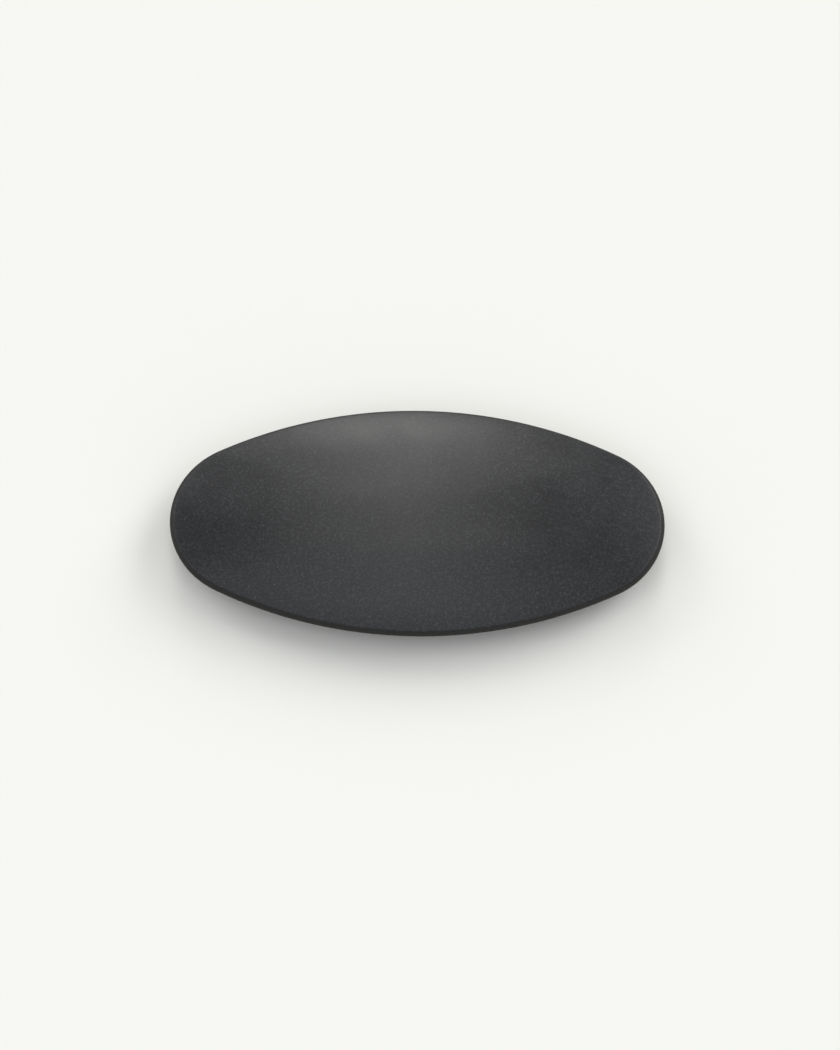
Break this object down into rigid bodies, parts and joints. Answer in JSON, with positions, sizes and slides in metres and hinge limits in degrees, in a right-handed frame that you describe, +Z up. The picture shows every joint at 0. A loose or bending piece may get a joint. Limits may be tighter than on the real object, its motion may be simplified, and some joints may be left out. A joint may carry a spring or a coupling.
{
  "type": "massage stone",
  "caption": "Smooth honed basalt massage stone: an elongated oval, gently domed on both faces with a thin round rim, held in the hand or laid warm on the body.",
  "frame": {"origin": "on the surface the stone rests on, under the middle of the stone", "axes": "+X along the stone's length, +Y across its width, +Z up out of its top face"},
  "size_m": [0.12, 0.06, 0.016],
  "materials": {
    "honed_basalt": "honed, matt to satin, very fine pale grain"
  },
  "bodies": {
    "root": {"basalt_stone": "honed_basalt"}
  },
  "joints": []
}
